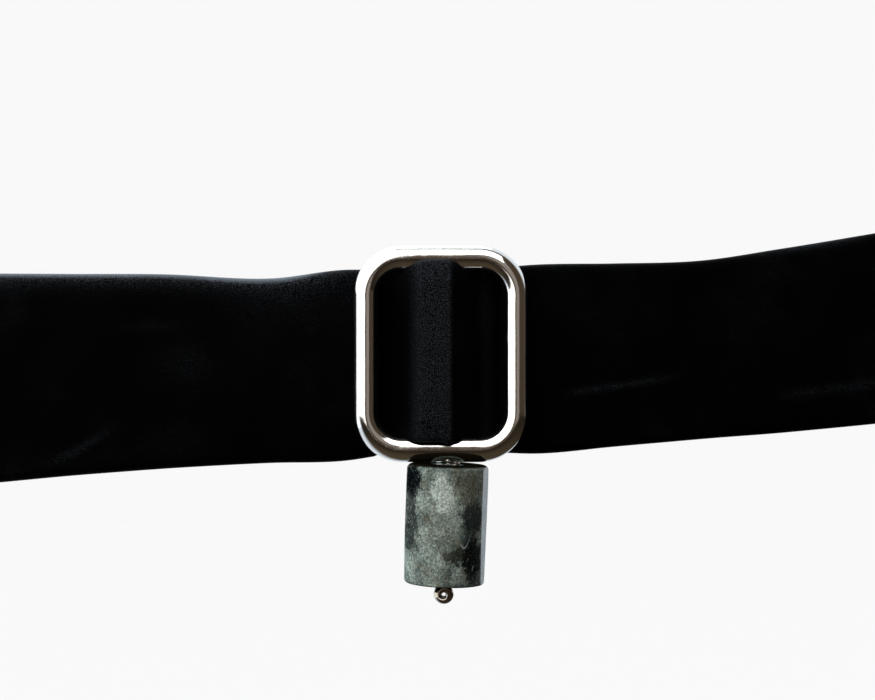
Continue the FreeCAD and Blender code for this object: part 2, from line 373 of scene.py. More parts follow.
@dataclass(frozen=True)
class Silver:
    """Polished white metal with fine hairline scratches. The bail and the pin below the ring are painted
    darker and browner as shade.

    The painted shade starts at a height, in metres, and is full a little lower.
    """

    colour: Colour = (0.90, 0.885, 0.86)
    dull: Colour = (0.50, 0.46, 0.40)
    unshaded_above: float = -0.0159
    dull_below: float = -0.0166
    roughness: float = 0.09
    scratch: float = 0.06

    def build(self, name: str) -> bpy.types.Material:
        """Build the finish.

        Args:
            name: the material's name.

        Returns:
            The material.
        """
        material = bpy.data.materials.new(name)
        n = Nodes(material)
        lines = n.noise(n.place((1.0, 1.0, 0.06)), 2600, 3, 0.7)
        marks = n.ramp(lines, 0.60, 0.72)
        smudge = n.noise(n.place(), 160, 3)
        scratches_and_sheen = n.maths("MULTIPLY", marks, n.ramp(smudge, 0.4, 0.6))
        height = n.node("SeparateXYZ", Vector=n.place()).outputs["Z"]
        # Painted shade: below a height the metal goes to the darker, browner colour, for the bail in the gap
        # under the ring and for the pin below it.
        painted_shade = n.ramp(height, self.dull_below, self.unshaded_above, 1.0, 0.0)
        n.set(Base_Color=n.mix(painted_shade, self.colour, self.dull), Metallic=1.0,
              Roughness=n.maths("ADD", n.ramp(smudge, 0.35, 0.7, self.roughness, self.roughness * 1.6),
                                n.maths("MULTIPLY", scratches_and_sheen, self.scratch)))
        ripple = n.maths("MULTIPLY", n.noise(n.place(), 900, 3), 0.10)
        dents = n.maths("ADD", n.noise(n.place(), 190, 2), ripple)
        n.bump(n.maths("ADD", dents, n.maths("MULTIPLY", scratches_and_sheen, 0.03)), 0.30, 0.00022)
        return material


@dataclass(frozen=True)
class ClaspSteel:
    """Plated steel of a stock clasp set, brushed along its length."""

    colour: Colour = (0.66, 0.66, 0.67)
    rubbed: Colour = (0.42, 0.40, 0.38)

    def build(self) -> bpy.types.Material:
        """Build the finish.

        Returns:
            The material.
        """
        material = bpy.data.materials.new("clasp_steel")
        n = Nodes(material)
        brushed = n.noise(n.place((1.0, 1.0, 0.05)), 4200, 2)
        scuffs_and_sheen_mask = n.noise(n.place(), 300, 3)
        n.set(Base_Color=n.mix(n.ramp(scuffs_and_sheen_mask, 0.4, 0.75), self.colour, self.rubbed), Metallic=1.0,
              Roughness=n.ramp(brushed, 0.3, 0.7, 0.20, 0.30))
        n.bump(brushed, 0.12, 0.00002)
        return material


def spun_fibre() -> bpy.types.NodeTree:
    """Build the effect of spun fibre that the thread and the wool share.

    Returns:
        A node group that mixes two colours by fine noise and gives out the same noise as a relief.
    """
    group = bpy.data.node_groups.new("spun_fibre", "ShaderNodeTree")
    for name, kind in (("Vector", "Vector"), ("Scale", "Float"), ("Detail", "Float"), ("Roughness", "Float"),
                       ("Dark", "Color"), ("Light", "Color")):
        group.interface.new_socket(name, in_out="INPUT", socket_type="NodeSocket" + kind)
    for name, kind in (("Colour", "Color"), ("Height", "Float")):
        group.interface.new_socket(name, in_out="OUTPUT", socket_type="NodeSocket" + kind)
    new, link = group.nodes.new, group.links.new
    entry, leave = new("NodeGroupInput"), new("NodeGroupOutput")
    noise, mix = new("ShaderNodeTexNoise"), new("ShaderNodeMix")
    mix.data_type = "RGBA"
    for name in ("Vector", "Scale", "Detail", "Roughness"):
        link(entry.outputs[name], noise.inputs[name])
    link(noise.outputs["Fac"], mix.inputs["Factor"])
    link(entry.outputs["Dark"], mix.inputs[6])
    link(entry.outputs["Light"], mix.inputs[7])
    link(mix.outputs[2], leave.inputs["Colour"])
    link(noise.outputs["Fac"], leave.inputs["Height"])
    return group


@dataclass(frozen=True)
class Thread:
    """Twisted sewing thread."""

    dark: Colour = (0.004, 0.004, 0.005)
    light: Colour = (0.014, 0.014, 0.016)

    def build(self, fibre: bpy.types.NodeTree) -> bpy.types.Material:
        """Build the finish.

        Args:
            fibre: the spun fibre group.

        Returns:
            The material.
        """
        material = bpy.data.materials.new("black_thread")
        n = Nodes(material)
        ply = n.node("Group", node_tree=fibre, Vector=n.place(), Scale=6000.0, Detail=2.0, Roughness=0.55,
                     Dark=(*self.dark, 1.0), Light=(*self.light, 1.0)).outputs
        n.set(Base_Color=ply["Colour"], Roughness=0.6, Specular_IOR_Level=0.2)
        n.bump(ply["Height"], 0.5, 0.00004)
        return material


@dataclass(frozen=True)
class Wool:
    """Undyed woollen interlining."""

    dark: Colour = (0.52, 0.46, 0.37)
    light: Colour = (0.66, 0.60, 0.50)

    def build(self, fibre: bpy.types.NodeTree) -> bpy.types.Material:
        """Build the finish.

        Args:
            fibre: the spun fibre group.

        Returns:
            The material.
        """
        material = bpy.data.materials.new("wool_interlining")
        n = Nodes(material)
        felt = n.node("Group", node_tree=fibre, Vector=n.place(), Scale=1800.0, Detail=4.0, Roughness=0.7,
                      Dark=(*self.dark, 1.0), Light=(*self.light, 1.0)).outputs
        n.set(Base_Color=felt["Colour"], Roughness=0.95, Sheen_Weight=0.4)
        n.bump(felt["Height"], 0.7, 0.0001)
        return material


@dataclass(frozen=True)
class Patch:
    """A cloud of one mineral in the stone, in millimetres from the stone's middle."""

    centre: Triple
    reach: Triple
    colour: Colour
    weight: float


@dataclass(frozen=True)
class Scratches:
    """Thin curved scratches: the level lines of a soft noise, broken up by a second one."""

    stretch: Triple
    waves: float
    level: float
    core: float
    edge: float
    break_waves: float
    break_low: float
    break_high: float

    def mask(self, n: Nodes) -> bpy.types.NodeSocket:
        """Draw the scratches.

        Args:
            n: the stone's shader tree.

        Returns:
            1 on a scratch and 0 beside it.
        """
        soft = n.noise(n.place(self.stretch), self.waves, 0.0)
        line = n.maths("ABSOLUTE", n.maths("SUBTRACT", soft, self.level))
        broken = n.ramp(n.noise(n.place(), self.break_waves, 2), self.break_low, self.break_high)
        return n.maths("MULTIPLY", n.ramp(line, self.core, self.edge, 1.0, 0.0), broken)


@dataclass(frozen=True)
class Feldspar:
    """Polished grey-green feldspar: grainy ground, black cleavage patches, pale scratches, and matt ends
    painted near black as shade.
    """

    ground: Colour = (0.050, 0.072, 0.066)
    pale: Colour = (0.310, 0.375, 0.345)
    umber: Colour = (0.120, 0.100, 0.066)
    speck: Colour = (0.085, 0.115, 0.108)
    scratch: Colour = (0.60, 0.66, 0.66)
    # Painted shade: the near-black colour of both ends.
    end: Colour = (0.006, 0.005, 0.003)
    grain_dark: Colour = (0.24, 0.26, 0.26)
    grain_light: Colour = (1.85, 1.83, 1.76)
    middle: Triple = (0.8, -29.8, -25.8)
    warp: float = 0.0076
    patches: tuple[Patch, ...] = (
        Patch((-5.6, -4.0, 7.4), (1.9, 4.5, 3.4), (0.001, 0.002, 0.003), 1.0),
        Patch((-5.9, -3.5, 0.5), (1.5, 4.5, 6.0), (0.003, 0.005, 0.007), 0.8),
        Patch((4.2, -5.0, -5.2), (1.9, 4.5, 4.6), (0.001, 0.002, 0.003), 1.0),
        Patch((4.4, -5.0, 1.4), (2.2, 4.5, 3.2), (0.002, 0.004, 0.005), 0.9),
        Patch((1.6, -6.2, -4.6), (2.2, 3.0, 1.5), (0.006, 0.006, 0.003), 0.9),
        Patch((3.4, -5.5, 6.4), (3.0, 4.5, 3.0), (0.085, 0.078, 0.048), 0.6),
        Patch((-0.6, -6.4, 5.2), (1.9, 4.0, 3.6), (0.520, 0.600, 0.570), 0.6),
        Patch((-1.0, -6.4, -1.0), (2.6, 4.0, 5.0), (0.260, 0.300, 0.270), 0.25),
        Patch((3.5, 5.0, 2.0), (3.0, 4.0, 5.0), (0.004, 0.005, 0.006), 0.9),
    )
    long_scratches: Scratches = Scratches((0.8, 1.0, 0.6), 240, 0.5, 0.003, 0.009, 430, 0.53, 0.59)
    short_scratches: Scratches = Scratches((0.6, 1.0, 0.9), 520, 0.42, 0.004, 0.014, 640, 0.56, 0.62)

    def body(self, n: Nodes) -> bpy.types.NodeSocket:
        """Lay the ground, the mineral clouds and the grain.

        Args:
            n: the stone's shader tree.

        Returns:
            The stone's colour below its scratches.
        """
        place = n.place()
        stir = n.node("TexNoise", Vector=place, Scale=620.0, Detail=9.0, Roughness=0.82).outputs["Color"]
        bend = n.node("VectorMath", operation="MULTIPLY_ADD")
        n.link(stir, bend.inputs[0])
        bend.inputs[1].default_value = (self.warp,) * 3
        n.link(place, bend.inputs[2])
        warped = bend.outputs[0]
        body = n.mix(n.ramp(n.noise(warped, 300, 7, 0.78), 0.40, 0.60), self.ground, self.pale)
        rust = n.ramp(n.noise(place, 520, 5, 0.7), 0.52, 0.62)
        body = n.mix(n.maths("MULTIPLY", rust, 0.55), body, self.umber)
        for patch in self.patches:
            # The noise that warps the place has a mean of one half, so the patches move by half the warp.
            spot = tuple((m + c) * MM + self.warp / 2 for m, c in zip(self.middle, patch.centre))
            local = n.node("Mapping", Vector=warped, vector_type="TEXTURE", Location=spot,
                           Scale=tuple(r * MM for r in patch.reach)).outputs["Vector"]
            far = n.node("VectorMath", Vector=local, operation="LENGTH").outputs["Value"]
            mask = n.maths("MULTIPLY", n.ramp(far, 0.70, 1.08, 1.0, 0.0), patch.weight)
            body = n.mix(mask, body, patch.colour)
        grain = n.ramp(n.noise(n.place((1.0, 1.0, 0.8)), 3300, 5, 0.9), 0.40, 0.60)
        shade = n.node("MixRGB", blend_type="MULTIPLY", Fac=1.0, Color1=body)
        n.link(n.mix(grain, self.grain_dark, self.grain_light), shade.inputs["Color2"])
        specks = n.ramp(n.noise(n.place((1.0, 1.0, 0.7)), 2700, 3, 0.8), 0.54, 0.68, 0.0, 0.45)
        return n.mix(specks, shade.outputs["Color"], self.speck)

    def build(self) -> bpy.types.Material:
        """Build the finish.

        Returns:
            The material.
        """
        material = bpy.data.materials.new("feldspar")
        n = Nodes(material)
        marks = n.maths("MAXIMUM", self.long_scratches.mask(n), self.short_scratches.mask(n))
        flecks = n.ramp(n.noise(n.place((1.0, 1.0, 0.5)), 3900, 2, 0.8), 0.64, 0.72)
        body = n.mix(n.maths("MULTIPLY", marks, 0.38), self.body(n), self.scratch)
        body = n.mix(n.maths("MULTIPLY", flecks, 0.40), body, self.scratch)
        normal = n.tree.nodes.new("ShaderNodeTexCoord").outputs["Normal"]
        facing = n.node("SeparateXYZ", Vector=normal).outputs
        matt_and_shaded_ends = n.ramp(n.maths("ABSOLUTE", facing["Z"]), 0.55, 0.85)
        flat = n.ramp(facing["X"], 0.86, 0.92)
        rough = n.maths("ADD", n.ramp(flat, 0.0, 1.0, 0.50, 0.14), n.maths("MULTIPLY", matt_and_shaded_ends, 0.5))
        shine = n.maths("MULTIPLY", n.ramp(flat, 0.0, 1.0, 0.12, 0.38), n.ramp(facing["X"], -0.85, -0.2))
        # Painted shade: both ends go near black. They are also matt and lose their specular.
        n.set(Base_Color=n.mix(matt_and_shaded_ends, body, self.end), Roughness=rough,
              Specular_IOR_Level=n.maths("MULTIPLY", shine, n.ramp(matt_and_shaded_ends, 0.0, 1.0, 1.0, 0.0)))
        relief = n.maths("ADD", n.noise(n.place(), 260, 3), n.maths("MULTIPLY", marks, 0.2))
        n.bump(relief, 0.12, 0.0002)
        return material


class Palette:
    """Every finish of the object, made once."""

    def __init__(self) -> None:
        """Build the materials."""
        self.silk = Silk().build()
        self.silver = Silver().build("polished_silver")
        self.clasp = ClaspSteel().build()
        fibre = spun_fibre()
        self.thread = Thread().build(fibre)
        self.wool = Wool().build(fibre)
        self.stone = Feldspar().build()

    def dress_cad(self) -> None:
        """Give each CAD node that stays in view the finish of its material slot."""
        finishes = {"silk": self.silk, "thread": self.thread, "wool": self.wool, "silver": self.silver,
                    "clasp_steel": self.clasp, "stone": self.stone}
        for part in frame["record"]["subparts"]:
            node = bpy.data.objects[part["node"]]
            node.data.materials.clear()
            node.data.materials.append(finishes[part["material_slot"]])
            node.data.polygons.foreach_set("material_index", [0] * len(node.data.polygons))


# ---- cloth ------------------------------------------------------------------------------------------


@dataclass(frozen=True)
class Neckline:
    """The line round the neck that the front band and the rear straps share. Lengths in millimetres."""

    flex_x: float = 100.0
    front_y: float = -26.0
    rear_y: float = 26.0
    strap_width: float = 20.0
    left_slope: float = 2.1
    right_slope: float = 4.3

    def slope(self, side: Side) -> float:
        """Return how one half of the band rises towards +X, in radians."""
        return math.radians(self.left_slope if side is Side.LEFT else self.right_slope)


@dataclass(frozen=True)
class Span:
    """A stretch along X that fades in from start and out from end, in millimetres."""

    start: float
    fade_in: float
    end: float
    fade_out: float

    def at(self, x: np.ndarray) -> np.ndarray:
        """Return 1 inside the stretch and 0 outside it, eased at both ends."""
        return smooth((x - self.start) / self.fade_in) * (1 - smooth((x - self.end) / self.fade_out))


@dataclass(frozen=True)
class Crease:
    """A soft crease in a wing, in millimetres: a curve through a point, and the stretch where it shows."""

    x: float
    z: float
    slope: float
    bend: float
    width: float
    height: float
    shows: Span

    def at(self, x: np.ndarray, z: np.ndarray) -> np.ndarray:
        """Lay the crease.

        Args:
            x: place along the band.
            z: height.

        Returns:
            The crease's height at each point.
        """
        along = x - self.x
        line = self.z + self.slope * along + self.bend * along**2
        return self.height * bump(z, line, self.width) * self.shows.at(x)


@dataclass(frozen=True)
class Highlight:
    """A soft patch of painted highlight on a wing, in millimetres."""

    x: float
    z: float
    reach_x: float
    reach_z: float
    strength: float

    def at(self, x: np.ndarray, z: np.ndarray) -> np.ndarray:
        """Return how strong the painted highlight is at each point."""
        return self.strength * bump(x, self.x, self.reach_x) * bump(z, self.z, self.reach_z)


@dataclass(frozen=True)
class PaintedSheen:
    """Where painted sheen and highlights lie on the silk's front face. Lengths in millimetres, and strengths
    from 0 to 1.
    """

    edge: Span = Span(-84.0, 12.0, -26.0, 14.0)
    edge_depth: float = 1.0
    tip_x: float = 61.0
    tip: float = 0.35
    near: float = 0.10
    crease: float = 0.13
    rub: float = 0.07
    highlights: tuple[Highlight, ...] = (Highlight(-41.0, -0.5, 4.0, 3.5, 1.0), Highlight(-43.0, -13.0, 5.0, 3.0, 0.6),
                             Highlight(-47.0, 5.8, 5.0, 1.0, 0.7))
    fold_span: Span = Span(-5.6, 3.2, 1.5, 0.5)
    fold: float = 0.30
    crown: float = 0.14
    beside: float = 0.05

    def wings(self, x: np.ndarray, z: np.ndarray, drop: np.ndarray, creases: np.ndarray) -> np.ndarray:
        """Say how strong the painted sheen is on the wings: along their lit top edge, and as painted
        highlights on the creases and in soft patches.

        Args:
            x: place along the band.
            z: height.
            drop: distance down from the band's top edge.
            creases: the height of the creases there.

        Returns:
            The painted sheen at each point.
        """
        # Painted sheen along the lit top edge of the left wing, a faint one at the right wing's top edge,
        # more near the ring on the left, and painted highlights on the creases and patches.
        top = np.exp(-((drop / self.edge_depth) ** 1.1)) * self.edge.at(x)
        top = top + self.tip * np.exp(-drop / 0.6) * bump(x, self.tip_x, 7.0)
        near = self.near * smooth((x + 40.0) / 10.0) * np.exp(-drop / 6.0) * (x < 0)
        return top + near + self.crease * creases + self.rub * sum(rub.at(x, z) for rub in self.highlights)

    def inside(self, x: np.ndarray, drop: np.ndarray) -> np.ndarray:
        """Say how strong the painted highlight is on the lit cloth in the window: on the fold, at its crown
        and on the ridge beside it.

        Args:
            x: place along the band.
            drop: distance down from the cloth's top edge.

        Returns:
            The painted highlight at each point.
        """
        # Painted highlight on the lit fold, at its crown and on the ridge beside it.
        crown = self.crown * np.exp(-drop / 2.0) * (np.abs(x + 1.5) < 8.0)
        return self.fold * self.fold_span.at(x) + crown + self.beside * bump(x, 7.4, 1.0)


@dataclass
class BandShape:
    """Sizes of the front band, in millimetres. Edge heights are given at a few places along X."""

    turn: float = 22.8
    thickness: float = 3.0
    stations: tuple[float, ...] = (-74.0, -60.0, -45.0, -27.0, -15.0, -9.0, 9.0, 15.0, 28.0, 42.0, 55.0, 74.0)
    widths: tuple[float, ...] = (34.2, 32.8, 31.6, 30.0, 31.0, 30.0, 30.0, 30.7, 29.8, 29.0, 29.9, 31.2)
    middles: tuple[float, ...] = (-2.7, -2.1, -1.55, -1.4, -0.5, -0.1, 0.3, 0.45, 1.1, 1.95, 3.4, 5.9)

    def height(self, x: np.ndarray) -> tuple[np.ndarray, np.ndarray]:
        """Find the band's edges on its straight run.

        Args:
            x: places along X.

        Returns:
            The heights of the lower and the upper edge at each place.
        """
        width = flowing(x, self.stations, self.widths)
        middle = flowing(x, self.stations, self.middles)
        return middle - width / 2, middle + width / 2


def round_path(points: Sequence[tuple[float, float]], radii: Sequence[float],
               step: float) -> tuple[np.ndarray, np.ndarray]:
    """Round the corners of a line seen from above.

    Args:
        points: the line's corners in millimetres.
        radii: the bend radius at each inner corner.
        step: the greatest distance between the points returned.

    Returns:
        Points along the rounded line, and the line's unit direction at each.
    """
    corners = np.array(points, float)
    runs = np.diff(corners, axis=0)
    runs = runs / np.linalg.norm(runs, axis=1)[:, None]
    spots, ways = [corners[0]], [runs[0]]

    def walk_to(end: np.ndarray, way: np.ndarray) -> None:
        """Add a straight run.

        Args:
            end: where it ends.
            way: its unit direction.
        """
        start = spots[-1]
        count = max(1, math.ceil(np.linalg.norm(end - start) / step))
        for part in np.linspace(0, 1, count + 1)[1:]:
            spots.append(start + (end - start) * part)
            ways.append(way)

    for corner, radius, into, out in zip(corners[1:-1], radii, runs, runs[1:]):
        turn = math.atan2(into[0] * out[1] - into[1] * out[0], float(into @ out))
        reach = radius * math.tan(abs(turn) / 2)
        walk_to(corner - into * reach, into)
        inward = np.array([-into[1], into[0]]) * math.copysign(1, turn)
        centre = spots[-1] + inward * radius
        count = max(4, math.ceil(abs(turn) * radius / step), math.ceil(abs(turn) / 0.12))
        for angle in np.linspace(0, turn, count + 1)[1:]:
            c, k = math.cos(angle), math.sin(angle)
            spoke = -inward * radius
            spots.append(centre + [c * spoke[0] - k * spoke[1], k * spoke[0] + c * spoke[1]])
            ways.append(np.array([c * into[0] - k * into[1], k * into[0] + c * into[1]]))
    walk_to(corners[-1], runs[-1])
    return np.array(spots), np.array(ways)


def rounded_section(count: int, corner: int) -> tuple[np.ndarray, np.ndarray, np.ndarray]:
    """Make the outline of a flat strip with rounded edges.

    Args:
        count: points up each face.
        corner: points round each edge.

    Returns:
        For each point, its height from -1 to 1 on the flat part, how far it is round an edge, from -1 to
        1, and its place through the thickness, from -1 at the front to 1 at the back.
    """
    up = np.linspace(-1, 1, count)
    arc = np.linspace(-math.pi / 2, math.pi / 2, corner + 2)[1:-1]
    none = np.zeros(count)
    height = np.concatenate([up, np.ones(corner), up[::-1], -np.ones(corner)])
    edge = np.concatenate([none, np.cos(arc), none, -np.cos(arc)])
    depth = np.concatenate([-np.ones(count), np.sin(arc), np.ones(count), -np.sin(arc)])
    return height, edge, depth


class Layer(Enum):
    """A layer of the front band, with how far it stands in from the silk's outer face in millimetres."""

    SLEEVE = 0.0
    CORE = 0.75


@dataclass
class FrontBand:
    """The silk sleeve from one side of the neck to the other through the ring's window, and its wool core.

    Sizes in millimetres. In the window the cloth passes behind the ring's side bars, forward over the centre
    bar, and up in front of the top bar at the middle.
    """

    neck: Neckline = field(default_factory=Neckline)
    shape: BandShape = field(default_factory=BandShape)
    scratches_and_sheen: PaintedSheen = field(default_factory=PaintedSheen)
    faces_up: int = 72
    faces_round: int = 9
    step: float = 0.8
    fine_half: float = 13.0
    fine_step: float = 0.16
    window: Span = Span(-11.0, 2.6, 8.4, 2.6)
    behind: Span = Span(-10.1, 1.6, 8.5, 1.6)
    over: Span = Span(-9.4, 6.4, 1.6, 5.0)
    fold: Span = Span(-4.6, 1.8, 1.4, 0.8)
    window_low: float = -12.6
    window_high: float = 16.35
    arch: float = 0.034
    behind_high: float = 15.9
    fullness: float = 0.985
    squeeze: float = 0.38
    core_squeeze: float = 0.35
    lobe: float = 0.35
    tuck: float = 1.8
    sunk: float = 0.8
    puff: float = 6.2
    ridge: float = 0.6
    side_ridge: float = 0.30
    crown_sink: float = 0.10
    crease: float = 0.14
    swell: float = 0.35
    creases: tuple[Crease, ...] = (
        Crease(-62.0, -16.0, 0.45, 0.014, 0.9, 1.0, Span(-65.0, 5.0, -57.0, 6.0)),
        Crease(21.4, -5.0, 0.15, 0.0, 0.6, 1.0, Span(19.0, 4.0, 33.0, 6.0)),
        Crease(56.4, -5.3, 0.125, 0.0, 0.9, 0.7, Span(53.0, 5.0, 68.0, 5.0)),
    )

    def plan(self) -> tuple[np.ndarray, np.ndarray, np.ndarray]:
        """Lay out the middle of the band seen from above.

        Returns:
            Points along the band, the direction that the front face looks, and each point's place along
            the straightened band, from -1 to 1 at the flex lines.
        """
        n, end_y = self.neck, -0.6
        ends = [(-n.flex_x, end_y), (-n.flex_x, n.front_y), (n.flex_x, n.front_y), (n.flex_x, end_y)]
        points, ways = round_path(ends, [self.shape.turn] * 2, self.step)
        close = np.arange(-self.fine_half, self.fine_half + 0.01, self.fine_step)
        inside = np.abs(points[:, 0]) < self.fine_half + 0.2
        first, last = np.flatnonzero(inside)[[0, -1]]
        middle = np.stack([close, np.full_like(close, n.front_y)], 1)
        points = np.vstack([points[:first], middle, points[last + 1:]])
        ways = np.vstack([ways[:first], np.tile([1.0, 0.0], (len(close), 1)), ways[last + 1:]])
        looks = np.stack([ways[:, 1], -ways[:, 0]], 1)
        steps = np.append(0, np.cumsum(np.linalg.norm(np.diff(points, axis=0), axis=1)))
        return points, looks, steps / steps[-1] * 2 - 1

    def sides(self, points: np.ndarray) -> tuple[np.ndarray, np.ndarray, np.ndarray]:
        """Describe how the band turns into the sloped straps round the sides of the neck.

        Args:
            points: the plan's points.

        Returns:
            For each point, how far round the side it is, from 0 to 1, its half's slope in radians, and the
            height of the strap's middle line.
        """
        n = self.neck
        around = smooth((points[:, 1] - n.front_y) / -n.front_y)
        slope = np.where(points[:, 0] < 0, n.slope(Side.LEFT), n.slope(Side.RIGHT))
        return around, slope, points[:, 0] * np.tan(slope)

    def edges(self, points: np.ndarray, window: np.ndarray) -> tuple[np.ndarray, np.ndarray]:
        """Find the band's edges: narrowed to the straps round the sides, and gathered inside the window.

        Args:
            points: the plan's points.
            window: 1 inside the window and 0 on the wings, one row for each point.

        Returns:
            The heights of the lower and the upper edge, one row for each point.
        """
        half = self.neck.strap_width / 2
        low, high = (edge[:, None] for edge in self.shape.height(points[:, 0]))
        around, _, strap_mid = (row[:, None] for row in self.sides(points))
        low = low * (1 - around) + (strap_mid - half) * around
        high = high * (1 - around) + (strap_mid + half) * around
        x = points[:, :1]
        over = self.over.at(x)
        inner_low = self.window_low - self.lobe * bump(x, 1.2, 0.9) - self.tuck * (1 - over)
        ahead = smooth((over - 0.05) / 0.2)
        inner_high = (self.window_high - self.arch * (x + 0.5) ** 2) * ahead + self.behind_high * (1 - ahead)
        return low * (1 - window) + inner_low * window, high * (1 - window) + inner_high * window

    def crease_height(self, x: np.ndarray, z: np.ndarray) -> np.ndarray:
        """Return the height of all the creases at each point, 1 at the top of a sharp one."""
        return sum(crease.at(x, z) for crease in self.creases)

    def relief(self, x: np.ndarray, z: np.ndarray, up: np.ndarray) -> np.ndarray:
        """Raise the wings' fullness, soft waves and creases.

        Args:
            x: place along the band.
            z: height.
            up: height on the flat part of the face, from -1 to 1.

        Returns:
            How far the front face stands out at each point.
        """
        waves = 0.16 * np.sin(0.21 * x + 0.055 * z) + 0.10 * np.sin(0.43 * x - 0.23 * z + 1.0)
        full = self.swell * (1 - np.clip(np.abs(up), 0, 1) ** 2)
        return waves + self.crease * self.crease_height(x, z) + full

    def forward(self, x: np.ndarray, tall: np.ndarray) -> np.ndarray:
        """Say how far the cloth in the window stands forward of the band.

        Args:
            x: place along the band.
            tall: height on the cloth, from -1 at its lower edge to 1 at its upper edge.

        Returns:
            The distance towards the viewer at each point.
        """
        bar = self.sunk * self.behind.at(x) + (self.puff - self.sunk) * self.over.at(x)
        ridges = self.ridge * self.fold.at(x) + self.side_ridge * bump(x, 7.2, 0.9)
        return (bar + ridges) * (1 - self.crown_sink * smooth((np.abs(tall) - 0.75) / 0.35))

    def build(self, layer: Layer, palette: Palette) -> bpy.types.Object:
        """Build one layer of the band.

        Args:
            layer: the silk sleeve or the wool core inside it.
            palette: the object's finishes.

        Returns:
            The layer, riding on the band.
        """
        inset, sleeve = layer.value, layer is Layer.SLEEVE
        points, looks, along = self.plan()
        up, edge, depth = (row[None, :] for row in rounded_section(self.faces_up, self.faces_round))
        x = points[:, :1]
        window = self.window.at(x) * (np.abs(points[:, 1:] - self.neck.front_y) < 1)
        low, high = self.edges(points, window)
        half = self.shape.thickness / 2 * self.fullness * (1 - self.squeeze * window)
        middle, reach = (low + high) / 2, (high - low) / 2 - half
        half = half - inset * (1 - self.core_squeeze * window)
        z = middle + up * (reach - inset) + edge * half
        tall = np.clip((z - middle) / np.maximum(reach, 1e-6), -1.1, 1.1)
        calm = (1 - window) * smooth((1 - np.abs(along)) * 9)[:, None] * (depth < 0.5)
        away = depth * half - self.forward(x, tall) * window - self.relief(x, z, up) * calm
        around, slope, strap_mid = (row[:, None] for row in self.sides(points))
        tilt = (z - strap_mid) * np.tan(slope) + x * (1 - np.cos(slope))
        plane = [points[:, i:i + 1] - looks[:, i:i + 1] * away for i in (0, 1)]
        verts = np.stack([plane[0] - tilt * around, plane[1], z], 2).reshape(-1, 3)
        obj = add_mesh("silk_sleeve" if sleeve else "wool_core", verts,
                       grid_faces(len(points), up.size, False, True))
        drop = np.maximum(high - z, 0)
        # Mark the painted sheen and highlights for the silk: the wings' lit edges, creases and patches, and
        # the lit cloth in the window, on the front face only.
        scuffs_and_sheen_mask = self.scratches_and_sheen.wings(x, z, drop, self.crease_height(x, z)) * (1 - window)
        scuffs_and_sheen_mask = np.clip(scuffs_and_sheen_mask + self.scratches_and_sheen.inside(x, drop) * window, 0, 1) * smooth(0.6 - depth)
        values = obj.data.attributes.new(PAINTED_SHEEN, "FLOAT", "POINT").data
        values.foreach_set("value", scuffs_and_sheen_mask.ravel().astype(np.float32))
        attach(obj, "band")
        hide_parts("front_sleeve" if sleeve else "front_interlining")
        obj.data.materials.append(palette.silk if sleeve else palette.wool)
        return obj


class StrapKind(Enum):
    """A length of the rear straps."""

    LEFT = "left_strap"
    RIGHT = "right_strap"
    RETURN = "strap_return"


@dataclass
class Strap:
    """A rear strap of folded silk. Sizes in millimetres, measured before its half of the band is sloped."""

    kind: StrapKind
    neck: Neckline = field(default_factory=Neckline)
    thickness: float = 1.2
    turn: float = 1.3
    side_turn: float = 25.4
    inside: float = 9.0
    hook_bar: float = 20.0
    eye_bar: float = 16.0
    fullness: float = 0.94
    tuck: float = 0.12
    sag: float = 0.12
    step: float = 0.6

    def path(self) -> tuple[np.ndarray, np.ndarray]:
        """Lay out the strap's middle line seen from above.

        Returns:
            Points along the line, and its unit direction at each.
        """
        rear = self.neck.rear_y
        back = rear - 2 * self.turn
        if self.kind is StrapKind.RETURN:
            line = [(17.2, back), (20.4, back), (23.4, 22.25), (36.35, 22.25), (36.35, 24.55), (28.0, 24.55)]
            return round_path(line, [1.5, 1.5, 1.15, 1.15], self.step)
        bar = self.hook_bar if self.kind is StrapKind.LEFT else self.eye_bar
        end, flex = bar - self.turn, self.neck.flex_x
        line = [(flex, -self.inside), (flex, rear), (end, rear), (end, back), (bar + self.turn, back)]
        radii = [self.side_turn, self.turn, self.turn]
        if self.kind is StrapKind.LEFT:
            laid = rear - self.thickness - 0.1
            line += [(bar + self.turn + 3.0, laid), (end + 13.0, laid)]
            radii += [1.5, 1.5]
        points, ways = round_path(line, radii, self.step)
        if self.kind is StrapKind.LEFT:
            points, ways = points * [-1, 1], ways * [-1, 1]
        return points, ways

    def build(self, palette: Palette) -> bpy.types.Object:
        """Build the strap.

        Args:
            palette: the object's finishes.

        Returns:
            The strap, baked in place.
        """
        side = Side.LEFT if self.kind is StrapKind.LEFT else Side.RIGHT
        main = self.kind is not StrapKind.RETURN
        points, ways = self.path()
        up, edge, depth = (row[None, :] for row in rounded_section(20, 5))
        half = self.thickness / 2
        z = up * (self.neck.strap_width / 2 - half) + edge * half
        hidden = main * (1 - smooth((points[:, 1:] + 2.0) / 2.5))
        z = z * (1 - self.tuck * hidden)
        sag = main * self.sag * np.sin(points[:, :1] * 0.23) * np.sin(z * 0.25)
        offset = depth * half * self.fullness + sag
        x = points[:, :1] - ways[:, 1:] * offset
        y = points[:, 1:] + ways[:, :1] * offset
        c, k = math.cos(self.neck.slope(side)), math.sin(self.neck.slope(side))
        verts = np.stack([x * c - z * k, y, x * k + z * c], 2).reshape(-1, 3)
        obj = add_mesh(self.kind.value + "_cloth", verts, grid_faces(len(points), up.size, False, True))
        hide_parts(self.kind.value)
        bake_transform(obj)
        obj.data.materials.append(palette.silk)
        return obj


# ---- metal and stone --------------------------------------------------------------------------------


